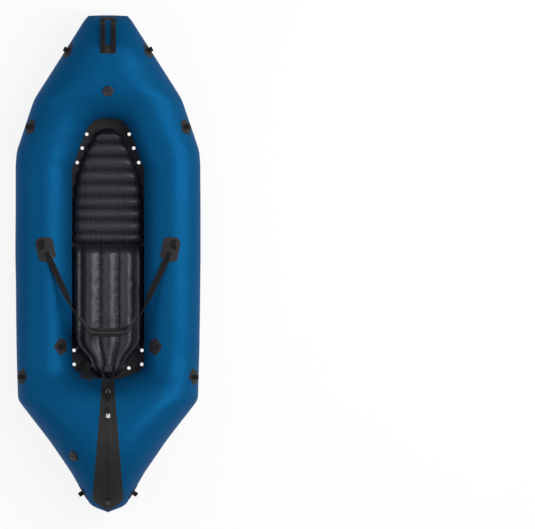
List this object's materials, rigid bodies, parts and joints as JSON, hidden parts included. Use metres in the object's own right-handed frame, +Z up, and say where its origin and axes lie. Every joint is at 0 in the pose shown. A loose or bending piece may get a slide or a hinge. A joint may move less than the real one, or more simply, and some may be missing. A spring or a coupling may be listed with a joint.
{
  "type": "packraft",
  "caption": "Inflatable whitewater packraft with self-bailing floor, seat and leg pads, back band and stern cargo zip.",
  "frame": {"origin": "on the ground under the middle of the raft", "axes": "+Y towards the bow, +Z up, +X to starboard"},
  "size_m": [0.9392, 2.52, 0.4108],
  "materials": {
    "blue_fabric": "satin",
    "wear_fabric": "satin",
    "pad_fabric": "satin",
    "patch_fabric": "matte",
    "webbing": "matte",
    "black_plastic": "satin",
    "spacer_mesh": "matte",
    "zip_metal": "satin",
    "spring_steel": "brushed"
  },
  "bodies": {
    "raft": {"stern_tube": "blue_fabric", "bow_nose_tube": "blue_fabric", "port_side_tube": "blue_fabric", "port_bow_tube": "blue_fabric", "starboard_side_tube": "blue_fabric", "starboard_bow_tube": "blue_fabric", "floor_panel": "wear_fabric", "bow_wear_skin": "wear_fabric", "stern_wear_skin": "wear_fabric", "port_wear_skin": "wear_fabric", "starboard_wear_skin": "wear_fabric", "leg_pad": "pad_fabric", "seat_pad": "pad_fabric", "port_bow_loop": "patch_fabric", "port_shoulder_loop": "patch_fabric", "port_quarter_loop": "patch_fabric", "port_stern_loop": "patch_fabric", "port_seat_loop": "patch_fabric", "starboard_bow_loop": "patch_fabric", "starboard_shoulder_loop": "patch_fabric", "starboard_quarter_loop": "patch_fabric", "starboard_stern_loop": "patch_fabric", "starboard_seat_loop": "patch_fabric", "port_strap_plate": "patch_fabric", "starboard_strap_plate": "patch_fabric", "handle_patch": "patch_fabric", "zip_patch": "patch_fabric", "seat_anchor_patch": "patch_fabric", "grab_handle": "webbing", "port_side_strap": "webbing", "starboard_side_strap": "webbing", "port_rear_strap": "webbing", "starboard_rear_strap": "webbing", "rear_anchor": "webbing", "seat_anchor_strap": "webbing", "bow_valve_body": "black_plastic", "stern_valve_body": "black_plastic", "seat_valve_body": "black_plastic", "port_ladder_lock": "black_plastic", "starboard_ladder_lock": "black_plastic", "port_band_ring": "black_plastic", "starboard_band_ring": "black_plastic", "zip_chain": "black_plastic", "zip_end_stop": "black_plastic", "rear_ring": "zip_metal", "bow_valve_spring": "spring_steel", "stern_valve_spring": "spring_steel"},
    "slider": {"zip_slider": "zip_metal"},
    "puller": {"zip_puller": "webbing"},
    "bow_cap": {"bow_valve_cap": "black_plastic"},
    "bow_plunger": {"bow_valve_plunger": "black_plastic"},
    "stern_cap": {"stern_valve_cap": "black_plastic"},
    "stern_plunger": {"stern_valve_plunger": "black_plastic"},
    "seat_cap": {"seat_valve_cap": "black_plastic"},
    "back_band": {"back_band_pad": "spacer_mesh", "back_band_binding": "webbing"}
  },
  "joints": [
    {"name": "zip_slider_run", "type": "hinge", "parent": "raft", "child": "slider", "pos_m": [0, -0.90846, 0.00149], "axis": [1, 0, 0], "range_deg": [-6, 60]},
    {"name": "zip_puller_tilt", "type": "hinge", "parent": "slider", "child": "puller", "pos_m": [0, -0.76264, 0.39173], "axis": [1, 0, 0], "range_deg": [0, 150]},
    {"name": "bow_cap_turn", "type": "hinge", "parent": "raft", "child": "bow_cap", "pos_m": [0, 0.8757, 0.33353], "axis": [0, -0.291, 0.9567], "range_deg": [0, 90]},
    {"name": "bow_plunger_slide", "type": "slide", "parent": "raft", "child": "bow_plunger", "axis": [0, -0.291, 0.9567], "range_m": [-0.0045, 0], "stiffness_N_per_m": 300, "springref_m": 0.003, "deforming": ["bow_valve_spring"]},
    {"name": "stern_cap_turn", "type": "hinge", "parent": "raft", "child": "stern_cap", "pos_m": [-0.1739, -0.9765, 0.33674], "axis": [-0.6654, -0.3912, 0.6358], "range_deg": [0, 90]},
    {"name": "stern_plunger_slide", "type": "slide", "parent": "raft", "child": "stern_plunger", "axis": [-0.6654, -0.3912, 0.6358], "range_m": [-0.0045, 0], "stiffness_N_per_m": 300, "springref_m": 0.003, "deforming": ["stern_valve_spring"]},
    {"name": "seat_valve_turn", "type": "hinge", "parent": "raft", "child": "seat_cap", "pos_m": [0, -0.53361, 0.1227], "axis": [0, 0, 1], "range_deg": [0, 180]},
    {"name": "back_band_tilt", "type": "hinge", "parent": "raft", "child": "back_band", "pos_m": [0, -0.27909, 0.305], "axis": [1, 0, 0], "range_deg": [-35, 25], "deforming": ["port_rear_strap", "starboard_rear_strap"]}
  ]
}
